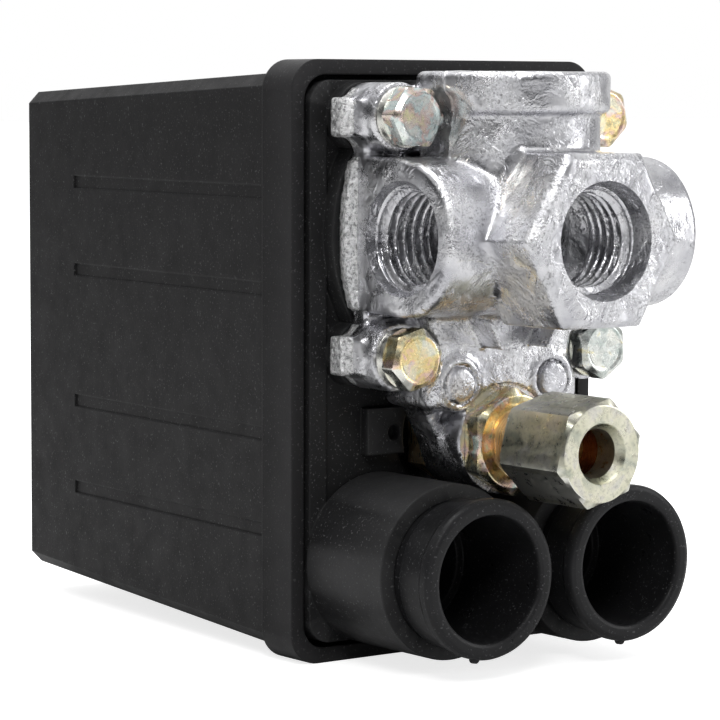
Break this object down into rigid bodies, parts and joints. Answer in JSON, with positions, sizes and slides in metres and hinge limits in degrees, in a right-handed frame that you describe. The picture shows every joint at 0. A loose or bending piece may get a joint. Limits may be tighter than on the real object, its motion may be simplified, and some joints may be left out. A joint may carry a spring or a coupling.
{
  "type": "pressure switch",
  "caption": "Air compressor pressure switch: tapered black box cover on a die-cast manifold with hexagonal and round threaded ports, an unloader valve and two cable sleeves.",
  "frame": {"origin": "on the main port's axis, where its thread begins, 2.6 mm behind the hexagon's face", "axes": "-Y points out of the main port, +Y runs back into the cover, +Z points out of the top port, +X points out of the right-hand port"},
  "size_m": [0.0486, 0.1119, 0.0754],
  "materials": {
    "cover_plastic": "satin, fine grain",
    "base_plastic": "satin",
    "sleeve_plastic": "semi-gloss",
    "die_cast": "as cast, tumbled",
    "zinc_yellow": "yellow passivated zinc plate",
    "zinc_olive": "olive passivated zinc plate",
    "brass": "machined",
    "copper": "drawn",
    "rubber": "matte",
    "steel": "bright zinc plate",
    "spring_steel": "bright drawn wire",
    "insulator": "moulded phenolic",
    "contact_metal": "tinned",
    "knob_plastic": "moulded"
  },
  "bodies": {
    "housing": {"cover": "cover_plastic", "base_plate": "base_plastic", "cable_sleeve_left": "sleeve_plastic", "cable_sleeve_right": "sleeve_plastic", "manifold": "die_cast", "diaphragm": "rubber", "flange_bolts": "zinc_yellow", "bolt_lock_washers": "zinc_yellow", "unloader_valve_body": "brass", "compression_nut": "zinc_olive", "ferrule": "copper", "unloader_lock_nut": "brass", "unloader_spring": "spring_steel", "spring_frame": "steel", "lever_pin": "steel", "main_spring": "spring_steel", "adjusting_screw_clip": "spring_steel", "terminal_block": "insulator", "terminal_strips": "contact_metal", "terminal_screws": "steel", "earth_screws": "steel", "cover_post": "steel", "cover_screw": "steel"},
    "pusher": {"pusher": "insulator"},
    "lever": {"lever": "steel"},
    "contact_carrier": {"contact_carrier": "insulator", "contact_bridges": "contact_metal", "contact_springs": "spring_steel"},
    "unloader_pin": {"unloader_pin": "brass"},
    "adjusting_screw": {"adjusting_screw": "zinc_yellow"},
    "spring_seat": {"spring_seat": "steel"},
    "knob": {"switch_knob": "knob_plastic", "knob_shaft": "insulator", "knob_clip": "spring_steel"}
  },
  "joints": [
    {"name": "pusher_slide", "type": "slide", "parent": "housing", "child": "pusher", "axis": [0, 1, 0], "range_m": [0, 0.00079]},
    {"name": "lever_pivot", "type": "hinge", "parent": "housing", "child": "lever", "pos_m": [0, 0.043, 0.011], "axis": [1, 0, 0], "range_deg": [0, 4.15], "stiffness_Nm_per_rad": 0.08, "springref_deg": -5.73, "deforming": ["main_spring"]},
    {"name": "contact_slide", "type": "slide", "parent": "housing", "child": "contact_carrier", "axis": [0, 1, 0], "range_m": [0, 0.0028]},
    {"name": "unloader_slide", "type": "slide", "parent": "housing", "child": "unloader_pin", "axis": [0, 1, 0], "range_m": [0, 0.0027], "deforming": ["unloader_spring"]},
    {"name": "spring_seat_slide", "type": "slide", "parent": "housing", "child": "spring_seat", "axis": [0, 1, 0], "range_m": [-0.00295, 0.00295]},
    {"name": "adjusting_screw_turn", "type": "hinge", "parent": "housing", "child": "adjusting_screw", "pos_m": [0, 0.086, 0], "axis": [0, 1, 0], "range_deg": [-1080, 1080]},
    {"name": "knob_turn", "type": "hinge", "parent": "housing", "child": "knob", "pos_m": [0, 0.1, -0.016], "axis": [0, 1, 0], "range_deg": [0, 90]}
  ],
  "couplings": [
    {"joint": "lever_pivot", "follows": "pusher_slide", "rad_per_m": 90.909},
    {"joint": "contact_slide", "follows": "pusher_slide", "ratio": 3.4545},
    {"joint": "unloader_slide", "follows": "pusher_slide", "ratio": 3.3364},
    {"joint": "adjusting_screw_turn", "follows": "spring_seat_slide", "rad_per_m": -6283.2}
  ]
}
